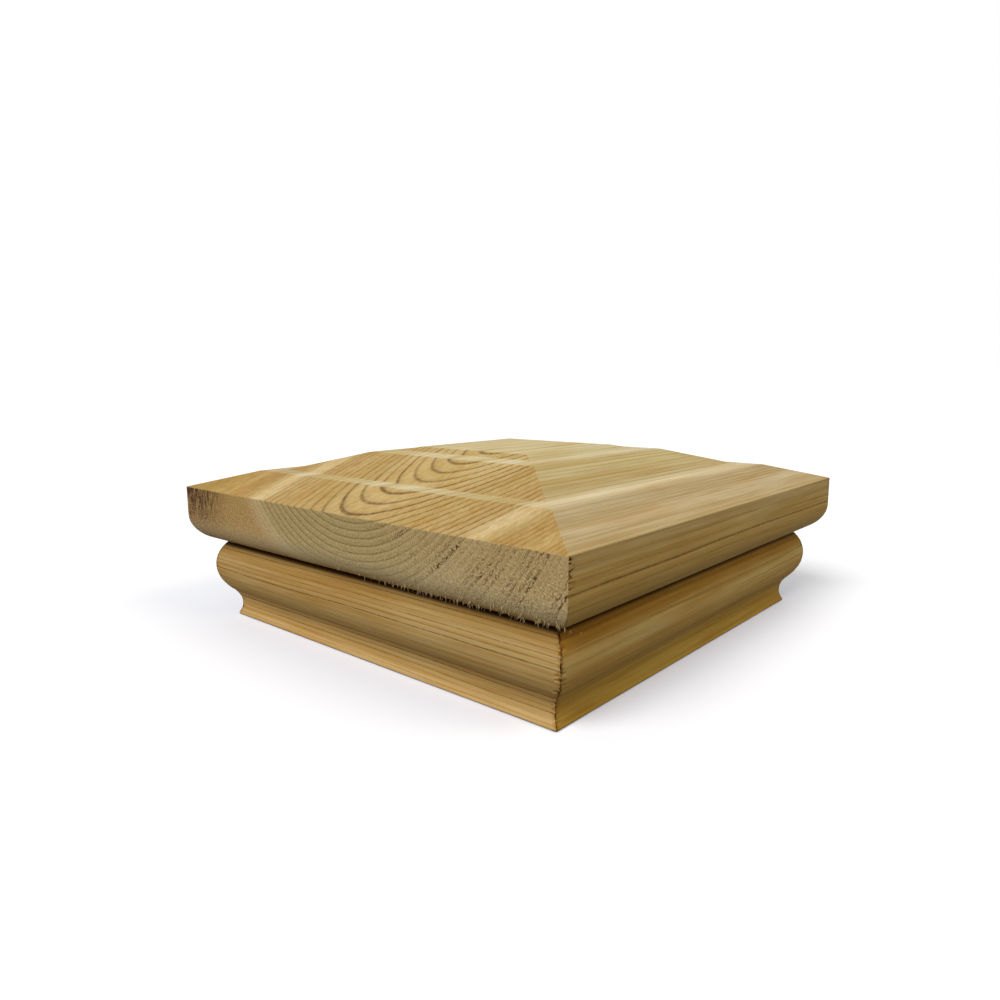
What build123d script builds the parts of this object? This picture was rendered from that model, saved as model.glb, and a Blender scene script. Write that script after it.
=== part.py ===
from build123d import *
import math
import os

# Flat top post cap for a square timber post, in millimetres.
# The origin is the middle of the cap's bottom and +Z is up. The board's grain runs along X.

# Top board, seen in a section through its middle. A half width is measured from the middle.
BOARD_WIDTH = 146.05          # square board, 5-3/4 in
EDGE_TOP_Z = 41.4             # upper edge of the board's upright side
UNDERSIDE_Z = 24.6            # board's flat underside, also the height of the mouldings
ROUND_OVER_R = 8.0            # round-over along the lower edge
BAND_PITCH = math.radians(16.3)   # slope of both sloping bands of the top
SHOULDER_1 = 56.4             # half width where the outer band ends in a level valley
VALLEY_1 = 51.0               # half width where the inner band starts
SHOULDER_2 = 32.5             # half width where the inner band ends
VALLEY_2 = 26.0               # half width where the short rise to the flat starts
VALLEY_2_RISE = 0.3           # how much the second valley rises towards the middle
FLAT_TOP = 21.0               # half width of the flat top
FLAT_TOP_RISE = 1.2           # height of the short rise
SHOULDER_SOFT_R = 6.0         # the knife leaves the shoulders soft
VALLEY_SOFT_R = 3.0           # and the foot of each slope slightly hollow

# Mouldings. Their section is an ovolo that runs into a cove, both plain arcs.
SOCKET_WIDTH = 95.25          # square socket for the post, 3-3/4 in
OVOLO_R = 11.0
OVOLO_OUT = 67.7              # half width over the ovolo
OVOLO_Z = 16.4                # height of the ovolo's widest line
COVE_IN = 62.3                # half width at the deepest line of the cove
COVE_Z = 4.0                  # height of that line
LIP_OUT = 63.3                # half width over the lower lip, which ends upright
LIP_EASE_R = 0.5              # the lower lip's sharp edge is eased
INNER_EASE = 0.6              # small bevel along the socket's mouth

# Brads, driven up through the mouldings' bottom faces into the board.
BRAD_LENGTH = 34.0
BRAD_SHANK_R = 0.6
BRAD_HEAD_R = 1.1
BRAD_HEAD_T = 0.7
BRAD_POINT = 2.0              # length of the drawn point
BRAD_SET = 1.0                # how far each head is set below the wood
BRAD_LINE = 55.0              # half width of the square that the brads stand on
BRAD_SPREAD = 30.0            # each moulding's brads are this far either side of its middle

SIDES = {"left": 180, "front": 270, "right": 0, "back": 90}   # direction that each moulding faces


def board_half_outline():
    """Right half of the board's section, from the middle of the flat top round to the middle of the underside."""
    half = BOARD_WIDTH / 2
    slope = math.tan(BAND_PITCH)
    level_1 = EDGE_TOP_Z + (half - SHOULDER_1) * slope
    level_2 = level_1 + (VALLEY_1 - SHOULDER_2) * slope
    foot = level_2 + VALLEY_2_RISE
    top = foot + FLAT_TOP_RISE
    upper = FilletPolyline(
        (0, top), (FLAT_TOP, top), (VALLEY_2, foot), (SHOULDER_2, level_2),
        (VALLEY_1, level_1), (SHOULDER_1, level_1), (half, EDGE_TOP_Z),
        radius=[SHOULDER_SOFT_R, VALLEY_SOFT_R, SHOULDER_SOFT_R, VALLEY_SOFT_R, SHOULDER_SOFT_R],
    )
    side = Line((half, EDGE_TOP_Z), (half, UNDERSIDE_Z + ROUND_OVER_R))
    corner = RadiusArc(
        (half, UNDERSIDE_Z + ROUND_OVER_R), (half - ROUND_OVER_R, UNDERSIDE_Z), ROUND_OVER_R
    )
    under = Line((half - ROUND_OVER_R, UNDERSIDE_Z), (0, UNDERSIDE_Z))
    return upper, side, corner, under


def board_pass(plane):
    """The board's section run straight through the whole board, as one pass of the moulder leaves it."""
    with BuildPart() as run:
        with BuildSketch(plane):
            with BuildLine():
                add(board_half_outline())
                mirror(about=Plane.YZ)
            make_face()
        extrude(amount=BOARD_WIDTH, both=True)
    return run.part


def square_board():
    """Board moulded along its grain and then across it: what both passes leave is the stepped square top."""
    along = board_pass(Plane.XZ)
    across = board_pass(Plane.YZ)
    return along & across


def moulding_section():
    """Section of a moulding in the XZ plane: socket wall at the left, ovolo and cove at the right."""
    ovolo = Vector(OVOLO_OUT - OVOLO_R, OVOLO_Z)
    # The cove's circle touches the ovolo's circle from outside, which gives its radius.
    rise = OVOLO_Z - COVE_Z
    gap = COVE_IN - ovolo.X
    cove_r = (gap**2 + rise**2 - OVOLO_R**2) / (2 * (OVOLO_R - gap))
    cove = Vector(COVE_IN + cove_r, COVE_Z)
    join = ovolo + (cove - ovolo) * (OVOLO_R / (OVOLO_R + cove_r))
    top_out = ovolo.X + math.sqrt(OVOLO_R**2 - (UNDERSIDE_Z - OVOLO_Z) ** 2)
    lip_top = COVE_Z - math.sqrt(cove_r**2 - (cove.X - LIP_OUT) ** 2)
    with BuildSketch(Plane.XZ) as section:
        with BuildLine():
            socket = SOCKET_WIDTH / 2
            Polyline(
                (LIP_OUT, lip_top), (LIP_OUT, 0), (socket + INNER_EASE, 0), (socket, INNER_EASE),
                (socket, UNDERSIDE_Z), (top_out, UNDERSIDE_Z),
            )
            ThreePointArc((top_out, UNDERSIDE_Z), (OVOLO_OUT, OVOLO_Z), join)
            ThreePointArc(join, (COVE_IN, COVE_Z), (LIP_OUT, lip_top))
        make_face()
        lip = section.vertices().group_by(Axis.Y)[0].sort_by(Axis.X)[-1]
        fillet(lip, LIP_EASE_R)
    return section.sketch


def moulding_strip():
    """One length of moulding on the +X side, mitred at 45 degrees at both ends."""
    strip = extrude(moulding_section(), amount=BOARD_WIDTH / 2, both=True)
    for turn in (45, -45):
        mitre = Plane(origin=(0, 0, 0), x_dir=(0, 0, 1), z_dir=Vector(1, 0, 0).rotate(Axis.Z, turn))
        strip = split(strip, bisect_by=mitre, keep=Keep.TOP)
    return strip


def brad():
    """A brad that stands with its head on the XY plane and its point up."""
    with BuildPart() as made:
        with BuildSketch(Plane.XZ):
            with BuildLine():
                Polyline(
                    (0, 0), (BRAD_HEAD_R, 0), (BRAD_HEAD_R, BRAD_HEAD_T), (BRAD_SHANK_R, BRAD_HEAD_T),
                    (BRAD_SHANK_R, BRAD_LENGTH - BRAD_POINT), (0, BRAD_LENGTH), close=True,
                )
            make_face()
        revolve(axis=Axis.Z)
    return made.part


def brad_with_bore():
    """The space that a brad and the bore below its set head take up in the wood."""
    bore = Pos(0, 0, -BRAD_SET) * Cylinder(
        BRAD_HEAD_R, BRAD_SET, align=(Align.CENTER, Align.CENTER, Align.MIN)
    )
    return brad() + bore


def brad_places(facing):
    """Where the brads of the moulding that faces this way stand."""
    return [
        Rot(0, 0, facing) * Pos(BRAD_LINE, offset, BRAD_SET)
        for offset in (-BRAD_SPREAD, BRAD_SPREAD)
    ]


def build():
    """All nodes of the cap, by name."""
    every_place = [place for facing in SIDES.values() for place in brad_places(facing)]
    holes = [place * brad_with_bore() for place in every_place]
    nodes = {"cap_board": square_board() - holes}
    for side, facing in SIDES.items():
        nodes[f"moulding_{side}"] = Rot(0, 0, facing) * moulding_strip() - holes
    nodes["brads"] = Compound(children=[place * brad() for place in every_place])
    return nodes


os.makedirs("parts", exist_ok=True)
for node, shape in build().items():
    export_step(shape, f"parts/{node}.step")
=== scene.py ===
"""Flat top post cap: a stepped softwood board on a mitred frame of moulding, in a plain studio."""
import logging
import math
from dataclasses import dataclass
from enum import Enum
from random import Random
from typing import Any, Callable, Mapping

import bpy
from mathutils import Matrix, Vector


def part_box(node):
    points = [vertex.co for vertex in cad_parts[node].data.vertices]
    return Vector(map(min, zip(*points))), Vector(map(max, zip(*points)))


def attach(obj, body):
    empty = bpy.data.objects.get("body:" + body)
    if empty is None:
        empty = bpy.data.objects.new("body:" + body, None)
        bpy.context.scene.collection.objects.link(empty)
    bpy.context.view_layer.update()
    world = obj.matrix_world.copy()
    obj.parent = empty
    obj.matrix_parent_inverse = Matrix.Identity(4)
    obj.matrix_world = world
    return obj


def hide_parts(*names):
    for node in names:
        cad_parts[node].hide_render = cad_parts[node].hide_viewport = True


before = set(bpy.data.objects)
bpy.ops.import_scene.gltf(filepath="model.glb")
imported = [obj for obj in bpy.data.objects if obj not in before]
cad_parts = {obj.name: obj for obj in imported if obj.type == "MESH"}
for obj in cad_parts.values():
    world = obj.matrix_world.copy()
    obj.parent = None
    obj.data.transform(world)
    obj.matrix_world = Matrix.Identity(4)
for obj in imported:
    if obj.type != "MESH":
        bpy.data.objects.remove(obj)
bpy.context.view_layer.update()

LOG = logging.getLogger("post_cap")
MM = 0.001                      # one millimetre in the scene's metres
HAIR = 1e-3 * MM                # two places closer than this are the same place
SMOOTH_BELOW = math.radians(12)   # faces that turn less than this are shaded as one curve
BODY = "root"                   # nothing on the cap moves, so every piece rides on one body
Colour = tuple[float, float, float, float]
Socket = bpy.types.NodeSocket
Tree = bpy.types.NodeTree


class Grain(Enum):
    """The axis that a piece's fibres run along."""

    ALONG_X = (1.0, 0.0, 0.0)
    ALONG_Y = (0.0, 1.0, 0.0)


def linear(hex_colour: str) -> Colour:
    """Turns an sRGB hex colour into the linear values that a shader socket takes.

    Args:
        hex_colour: Six hex digits with a leading hash.

    Returns:
        Red, green, blue and an alpha of 1.
    """
    channels = [int(hex_colour[i:i + 2], 16) / 255 for i in (1, 3, 5)]
    plain = [c / 12.92 if c <= 0.04045 else ((c + 0.055) / 1.055) ** 2.4 for c in channels]
    return (plain[0], plain[1], plain[2], 1.0)


def grey(level: float) -> Colour:
    """A grey of this level, for a ramp that carries a plain number."""
    return (level, level, level, 1.0)


def add_node(tree: Tree, kind: str, settings: Mapping[Any, Any]) -> bpy.types.NodeOutputs:
    """Adds one shader node with its settings and the links that feed it.

    Args:
        tree: The material's or world's node tree.
        kind: The node's type name without its common start.
        settings: What each property or input gets, by its name or number. A socket is linked, anything
            else is set, and "stops" are a ramp's places and colours.

    Returns:
        The new node's outputs.
    """
    node = tree.nodes.new("ShaderNode" + kind)
    for key, value in settings.items():
        if key == "stops":
            elements = node.color_ramp.elements
            while len(elements) < len(value):
                elements.new(1.0)
            for element, (position, colour) in zip(elements, value):
                element.position = position
                element.color = colour
        elif isinstance(value, Socket):
            tree.links.new(value, node.inputs[key])
        elif isinstance(key, int) or key in node.inputs:
            node.inputs[key].default_value = value
        else:
            setattr(node, key, value)
    return node.outputs


def cleared_tree(owner: bpy.types.Material | bpy.types.World) -> Tree:
    """Gives a material or a world an empty node tree.

    Args:
        owner: The material or the world.

    Returns:
        The tree.
    """
    owner.use_nodes = True
    owner.node_tree.nodes.clear()
    return owner.node_tree


class Workpiece:
    """One mesh on the bench, with the picking that each operator needs."""

    def __init__(self, name: str) -> None:
        """Takes the primitive that was just added.

        Args:
            name: The piece's name.
        """
        self.shape = bpy.context.object
        self.shape.name = name
        self.shape.data.name = name
        bpy.ops.object.transform_apply(location=True, rotation=True, scale=True)

    def hold(self) -> None:
        """Makes this the only selected object, in object mode."""
        if bpy.context.mode != "OBJECT":
            bpy.ops.object.mode_set(mode="OBJECT")
        bpy.ops.object.select_all(action="DESELECT")
        self.shape.select_set(True)
        bpy.context.view_layer.objects.active = self.shape

    def pick_all(self) -> None:
        """Selects the whole mesh, in edit mode."""
        self.hold()
        bpy.ops.object.mode_set(mode="EDIT")
        bpy.ops.mesh.select_all(action="SELECT")

    def pick(self, test: Callable[[Vector], bool], edges: bool = True) -> None:
        """Selects, in edit mode, what lies wholly where a test says.

        Args:
            test: Says of a point whether it is in the wanted place.
            edges: Selects edges with both ends there, and otherwise single points.
        """
        self.hold()
        bpy.context.tool_settings.mesh_select_mode = (not edges, edges, False)
        bpy.ops.object.mode_set(mode="EDIT")
        bpy.ops.mesh.select_all(action="DESELECT")
        bpy.ops.object.mode_set(mode="OBJECT")
        points = self.shape.data.vertices
        inside = [test(point.co) for point in points]
        if edges:
            for edge in self.shape.data.edges:
                edge.select = all(inside[i] for i in edge.vertices)
        else:
            for point, wanted in zip(points, inside):
                point.select = wanted
        bpy.ops.object.mode_set(mode="EDIT")

    def cut(self, place: Vector, normal: Vector, clear: bool = False) -> None:
        """Bisects the whole mesh.

        Args:
            place: A point of the plane.
            normal: The plane's normal.
            clear: Takes away what the normal points at and closes the cut.
        """
        self.pick_all()
        bpy.ops.mesh.bisect(plane_co=place, plane_no=normal, clear_outer=clear, use_fill=clear)

    def modify(self, kind: str, settings: Mapping[str, Any]) -> None:
        """Adds a modifier and applies it.

        Args:
            kind: The modifier's type.
            settings: Its properties by name.
        """
        self.hold()
        modifier = self.shape.modifiers.new(kind.lower(), kind)
        for key, value in settings.items():
            setattr(modifier, key, value)
        bpy.ops.object.modifier_apply(modifier=modifier.name)

    def copy(self, name: str) -> "Workpiece":
        """Copies the piece with a mesh of its own.

        Args:
            name: The copy's name.

        Returns:
            The copy, held.
        """
        self.hold()
        bpy.ops.object.duplicate(linked=False)
        return Workpiece(name)

    def finish(
        self, material: bpy.types.Material, slot: str, replaces: str | None = None
    ) -> bpy.types.Object:
        """Shades the piece, gives it its material, sets it on the body and hides the node that it stands for.

        Args:
            material: The finish.
            slot: Not used.
            replaces: The node that the piece stands for, if it stands for one.

        Returns:
            The finished piece.
        """
        self.hold()
        bpy.ops.object.shade_smooth_by_angle(angle=SMOOTH_BELOW)
        self.shape.data.materials.clear()
        self.shape.data.materials.append(material)
        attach(self.shape, BODY)
        if replaces:
            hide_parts(replaces)
        return self.shape


@dataclass(frozen=True)
class Marks:
    """One kind of mark in the wood: noise stretched along the fibres, and the mask made of it."""

    along_mm: float                     # a mark's length along the fibres
    across_mm: float                    # and its width across them
    shift: float                        # moves the pattern, so that no two kinds of mark line up
    detail: float = 2.0                 # octaves
    noise: tuple[float, float] = (0.0, 1.0)   # the mask grows over this range of the noise
    mask: tuple[float, float] = (0.0, 1.0)    # the mask's least and its most


@dataclass(frozen=True)
class Growth:
    """Where each point of a surface is, on the cap and in the log that it grew in."""

    place: bpy.types.NodeOutputs        # millimetres on the cap: X, Y, and Z up from its bottom
    space: Socket                       # millimetres in the log: X along the fibres, Y and Z from the pith
    radius: Socket                      # distance from the pith in mm
    reach: Socket                       # the same as a share of the longest radius
    part: Socket                        # part of the year, from 0 to 1
    chance: Socket                      # a random number of that year's own


@dataclass(frozen=True)
class Softwood:
    """Bare cedar, planed by a moulder: almost matt, and each year's ring ends in a thin brown line.

    The pattern is solid. It is worked out from the distance to the pith of the log, so the lines on the top,
    the edges and the end grain meet at the arrises as they do in real wood. Radii are in mm.
    """

    name: str
    grain: Grain                        # the axis that the fibres run along
    pith_mm: tuple[float, float]        # the pith's place across the grain: first level, then height
    ring_mm: float                      # width of a year's ring
    line_mm: float                      # radius of one of the dark lines
    tones: tuple[tuple[float, str], ...]      # colour between the lines, by radius
    shows: tuple[tuple[float, float], ...]    # how much of the lines shows, by radius
    latewood: str                       # the dark line that ends each year
    line_shape: tuple[tuple[float, float], ...] = (
        (0.0, 0.06), (0.05, 0.0), (0.5, 0.03), (0.72, 0.25), (0.79, 0.8), (0.86, 1.0), (0.93, 0.7),
        (1.0, 0.06),
    )                                   # how dark it is through the year
    level_show: float = 1.0             # share of a line that shows where the cut runs along the fibres
    side_show: float = 0.0              # share that shows at least on an upright side
    far_show: float = 1.0               # share that shows on the log's +Y side, where it grew evenly
    far_mm: float = 30.0                # how far from the pith that side starts
    weakest: float = 0.6                # how much the faintest year's line shows of the strongest
    painted_sheen_slope_tint: str = "#FFFFFF"         # what a slope keeps of the colour beside the level parts, which stay paler as a painted sheen
    # and what it keeps where the cutter crossed the fibres, by radius
    slope_tints: tuple[tuple[float, str], ...] = ((0.0, "#FFFFFF"), (119.0, "#FFFFFF"))
    waver_mm: float = 0.5               # how far the rings wander along the length
    ripple_mm: float = 0.12             # and how far they tremble from one centimetre to the next
    slim_from_mm: float = 50.0          # beyond this radius the rings grow thinner
    slim_rate: float = 0.006            # and this fast
    seed: float = 0.0                   # moves the piece to another part of the log

    REACH = 120.0                       # longest radius on the colour ramps
    LINE_AT = 0.86                      # part of the year in the middle of the dark line
    SLOPING = (0.04, 0.25)              # share of the normal along the fibres on the top's slopes
    OFF_LEVEL = (0.999, 0.985)          # share of it upwards where a level part ends
    UPRIGHT = (0.5, 0.3)                # and where a surface counts as upright
    RELIEF_MM = 0.2                     # height of the relief between its numbers 0 and 1
    WAVER = Marks(150.0, 60.0, 3.0, 1.0)
    RIPPLE = Marks(30.0, 5.0, 11.0, 1.0)
    BUNDLES = Marks(12.0, 0.5, 41.0)    # fibre bundles that the planer leaves a little high
    # the cutter tore tiny bits out of the hard lines, so they look dotted close up
    DOTS = Marks(1.6, 0.7, 17.0, 1.0, noise=(0.35, 0.62), mask=(0.6, 1.0))

    def wood_space(self, tree: Tree, place: Socket) -> Socket:
        """Millimetres in the log: X along the fibres, Y and Z across them from the pith.

        Args:
            tree: The material's node tree.
            place: The surface's place in metres.

        Returns:
            The vector socket.
        """
        across, height = self.pith_mm
        if self.grain is Grain.ALONG_X:
            pith, turn = (0.0, across * MM, height * MM), 0.0
        else:
            pith, turn = (across * MM, 0.0, height * MM), -math.pi / 2
        centred = add_node(tree, "VectorMath", {"operation": "SUBTRACT", 0: place, 1: pith})[0]
        settings = {"Vector": centred, "Rotation": (0.0, 0.0, turn), "Scale": (1 / MM, 1 / MM, 1 / MM)}
        return add_node(tree, "Mapping", settings)[0]

    def noise(self, tree: Tree, space: Socket, marks: Marks) -> bpy.types.NodeOutputs:
        """Noise in the size of these marks.

        Args:
            tree: The material's node tree.
            space: The log's millimetres.
            marks: The marks.

        Returns:
            The noise's number and its colour, both about 0.5.
        """
        across = 1 / marks.across_mm
        settings = {
            "Vector": space,
            "Scale": (1 / marks.along_mm, across, across),
            "Location": (self.seed + marks.shift, self.seed - marks.shift, marks.shift),
        }
        scaled = add_node(tree, "Mapping", settings)[0]
        settings = {"Vector": scaled, "Scale": 1.0, "Detail": marks.detail, "Roughness": 0.65}
        return add_node(tree, "TexNoise", settings)

    def mask(self, tree: Tree, growth: Growth, marks: Marks) -> Socket:
        """A mask of these marks.

        Args:
            tree: The material's node tree.
            growth: Where the points are.
            marks: The marks.

        Returns:
            The mask's socket.
        """
        noise = self.noise(tree, growth.space, marks)[0]
        (low, high), (least, most) = marks.noise, marks.mask
        settings = {"Value": noise, "From Min": low, "From Max": high, "To Min": least, "To Max": most}
        return add_node(tree, "MapRange", settings)[0]

    def by_radius(
        self, tree: Tree, growth: Growth, steps: tuple[tuple[float, str | float], ...]
    ) -> Socket:
        """A colour or a level that changes with the distance from the pith.

        Args:
            tree: The material's node tree.
            growth: Where the points are.
            steps: Hex colours or levels by radius in mm.

        Returns:
            The colour's socket.
        """
        stops = [
            (at / self.REACH, linear(value) if isinstance(value, str) else grey(value))
            for at, value in steps
        ]
        return add_node(tree, "ValToRGB", {0: growth.reach, "stops": stops})[0]

    def growth(self, tree: Tree) -> Growth:
        """Works out where every point of the surface is.

        Args:
            tree: The material's node tree.

        Returns:
            The places and the log's measures.
        """
        metres = add_node(tree, "TexCoord", {})["Object"]
        scaled = add_node(tree, "Mapping", {"Vector": metres, "Scale": (1 / MM, 1 / MM, 1 / MM)})[0]
        place = add_node(tree, "SeparateXYZ", {0: scaled})
        space = self.wood_space(tree, metres)
        radius = self.radius(tree, space)
        reach = add_node(tree, "Math", {"operation": "DIVIDE", 0: radius, 1: self.REACH})[0]
        part, chance = self.years(tree, radius)
        return Growth(place, space, radius, reach, part, chance)

    def radius(self, tree: Tree, space: Socket) -> Socket:
        """Distance from the pith in millimetres, with the slow waver that a living tree has.

        Args:
            tree: The material's node tree.
            space: The log's millimetres.

        Returns:
            The distance socket.
        """
        total = space
        for marks, most in ((self.WAVER, self.waver_mm), (self.RIPPLE, self.ripple_mm)):
            noise = self.noise(tree, space, marks)["Color"]
            settings = {"operation": "SUBTRACT", 0: noise, 1: (0.5, 0.5, 0.5)}
            offset = add_node(tree, "VectorMath", settings)[0]
            settings = {"operation": "MULTIPLY_ADD", 0: offset, 1: (0.0, 2 * most, 2 * most), 2: total}
            total = add_node(tree, "VectorMath", settings)[0]
        flat = add_node(tree, "VectorMath", {"operation": "MULTIPLY", 0: total, 1: (0.0, 1.0, 1.0)})[0]
        return add_node(tree, "VectorMath", {"operation": "LENGTH", 0: flat})["Value"]

    def years(self, tree: Tree, radius: Socket) -> tuple[Socket, Socket]:
        """Where in its year the wood at this radius grew.

        Args:
            tree: The material's node tree.
            radius: Distance from the pith in millimetres.

        Returns:
            The part of the year from 0 to 1, and a random number of that year's own.
        """
        older = add_node(tree, "Math", {"operation": "SUBTRACT", 0: radius, 1: self.slim_from_mm})[0]
        older = add_node(tree, "Math", {"operation": "MAXIMUM", 0: older, 1: 0.0})[0]
        older = add_node(tree, "Math", {"operation": "POWER", 0: older, 1: 2.0})[0]
        slimmer = add_node(tree, "Math", {"operation": "MULTIPLY", 0: older, 1: self.slim_rate})[0]
        # ten whole years more keep the number positive
        start = 10 + self.LINE_AT - self.line_mm / self.ring_mm
        settings = {"operation": "MULTIPLY_ADD", 0: radius, 1: 1 / self.ring_mm, 2: start}
        even = add_node(tree, "Math", settings)[0]
        number = add_node(tree, "Math", {"operation": "ADD", 0: even, 1: slimmer})[0]
        part = add_node(tree, "Math", {"operation": "FRACT", 0: number})[0]
        year = add_node(tree, "Math", {"operation": "FLOOR", 0: number})[0]
        chance = add_node(tree, "TexWhiteNoise", {"noise_dimensions": "1D", "W": year})["Value"]
        return part, chance

    def across_fibres(self, tree: Tree, none_at: float, all_at: float) -> Socket:
        """A mask that grows as the surface turns from along the fibres to across them.

        Args:
            tree: The material's node tree.
            none_at: Share of the normal along the fibres where the mask is 0.
            all_at: Share where it is 1.

        Returns:
            The mask's socket.
        """
        facing = add_node(tree, "TexCoord", {})["Normal"]
        settings = {"operation": "DOT_PRODUCT", 0: facing, 1: self.grain.value}
        share = add_node(tree, "VectorMath", settings)["Value"]
        share = add_node(tree, "Math", {"operation": "ABSOLUTE", 0: share})[0]
        settings = {
            "interpolation_type": "SMOOTHSTEP", "Value": share, "From Min": none_at, "From Max": all_at
        }
        return add_node(tree, "MapRange", settings)[0]

    def facing_up(self, tree: Tree, none_at: float, all_at: float) -> Socket:
        """A mask by the normal's upward share, which is 0 at the first share and 1 at the second."""
        facing = add_node(tree, "SeparateXYZ", {0: add_node(tree, "TexCoord", {})["Normal"]})["Z"]
        return add_node(tree, "MapRange", {"Value": facing, "From Min": none_at, "From Max": all_at})[0]

    def cut_share(self, tree: Tree, growth: Growth) -> Socket:
        """Share of the lines that shows, which is most where the cut crosses the fibres.

        Args:
            tree: The material's node tree.
            growth: Where the points are.

        Returns:
            The share's socket.
        """
        turned = self.across_fibres(tree, *self.SLOPING)
        share = add_node(tree, "MapRange", {"Value": turned, "To Min": self.level_show, "To Max": 1.0})[0]
        # on an upright side only some of the years stand out
        settings = {"Value": growth.chance, "From Min": 0.5, "From Max": 0.8, "To Min": 0.1, "To Max": 1.0}
        side = add_node(tree, "MapRange", settings)[0]
        for factor in (self.facing_up(tree, *self.UPRIGHT), self.side_show):
            side = add_node(tree, "Math", {"operation": "MULTIPLY", 0: side, 1: factor})[0]
        share = add_node(tree, "Math", {"operation": "MAXIMUM", 0: share, 1: side})[0]
        across = add_node(tree, "SeparateXYZ", {0: growth.space})["Y"]
        settings = {"Value": across, "From Max": self.far_mm, "To Min": 1.0, "To Max": self.far_show}
        far = add_node(tree, "MapRange", settings)[0]
        return add_node(tree, "Math", {"operation": "MULTIPLY", 0: share, 1: far})[0]

    def line_mask(self, tree: Tree, growth: Growth) -> Socket:
        """How dark the year's line is on a planed surface.

        Args:
            tree: The material's node tree.
            growth: Where the points are.

        Returns:
            The mask's socket.
        """
        # within a year the wood darkens slowly, ends in a thin dark line and starts pale again
        stops = [(at, grey(level)) for at, level in self.line_shape]
        mask = add_node(tree, "ValToRGB", {0: growth.part, "stops": stops})[0]
        luck = add_node(tree, "MapRange", {"Value": growth.chance, "To Min": self.weakest})[0]
        for share in (
            self.by_radius(tree, growth, self.shows),
            self.cut_share(tree, growth),
            luck,
            self.mask(tree, growth, self.DOTS),
        ):
            mask = add_node(tree, "Math", {"operation": "MULTIPLY", 0: mask, 1: share})[0]
        return mask

    def planed(self, tree: Tree, growth: Growth) -> Socket:
        """Colour of a planed surface.

        Args:
            tree: The material's node tree.
            growth: Where the points are.

        Returns:
            The colour's socket.
        """
        base = self.by_radius(tree, growth, self.tones)
        mask = self.line_mask(tree, growth)
        settings = {"data_type": "RGBA", 0: mask, 6: base, 7: linear(self.latewood)}
        colour = add_node(tree, "Mix", settings)[2]
        tints = []
        for marks, dark, pale in (
            # cedar fibres are far finer than a pixel, so bundles of them 0.4 mm wide are drawn
            (Marks(16.0, 0.4, 21.0, 3.0), (0.3, grey(0.85)), (0.7, grey(1.1))),
            # wider streaks, where the fibres lie a little steeper to the surface
            (Marks(60.0, 1.1, 26.0, 1.5), (0.37, linear("#F1E8D4")), (0.57, grey(0.99))),
            # and patches as long as a finger, where the tree drew up more or less resin
            (Marks(45.0, 8.0, 31.0), (0.3, linear("#F2E6D2")), (0.7, grey(1.0))),
        ):
            noise = self.noise(tree, growth.space, marks)[0]
            tints.append((1.0, add_node(tree, "ValToRGB", {0: noise, "stops": [dark, pale]})[0]))
        # slopes are dimmed beside the level parts, so these stand out paler: a painted sheen
        tints.append((self.facing_up(tree, *self.OFF_LEVEL), linear(self.painted_sheen_slope_tint)))
        end_slope = self.by_radius(tree, growth, self.slope_tints)
        tints.append((self.across_fibres(tree, *self.SLOPING), end_slope))
        for share, tint in tints:
            settings = {"data_type": "RGBA", "blend_type": "MULTIPLY", 0: share, 6: colour, 7: tint}
            colour = add_node(tree, "Mix", settings)[2]
        return colour

    def special(
        self, tree: Tree, growth: Growth, colour: Socket, height: Socket
    ) -> tuple[Socket, Socket]:
        """Adds what this piece of wood has beyond a planed surface, which is nothing here."""
        return colour, height

    def material(self) -> bpy.types.Material:
        """Builds the material.

        Returns:
            The wood.
        """
        made = bpy.data.materials.new(self.name)
        tree = cleared_tree(made)
        growth = self.growth(tree)
        colour = self.planed(tree, growth)
        # the planer leaves fibre bundles a few hundredths of a millimetre high
        bundle = self.noise(tree, growth.space, self.BUNDLES)[0]
        height = add_node(tree, "Math", {"operation": "MULTIPLY_ADD", 0: bundle, 1: 0.25, 2: 0.5})[0]
        colour, height = self.special(tree, growth, colour, height)
        bump = add_node(tree, "Bump", {"Height": height, "Strength": 1.0, "Distance": self.RELIEF_MM * MM})[0]
        # open fibres swallow nearly all of the gloss
        gloss = add_node(tree, "MapRange", {"Value": bundle, "To Min": 0.6, "To Max": 0.8})[0]
        settings = {
            "Base Color": colour, "Roughness": gloss, "Normal": bump, "IOR": 1.5, "Specular IOR Level": 0.05
        }
        shader = add_node(tree, "BsdfPrincipled", settings)[0]
        add_node(tree, "OutputMaterial", {"Surface": shader})
        return made


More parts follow.
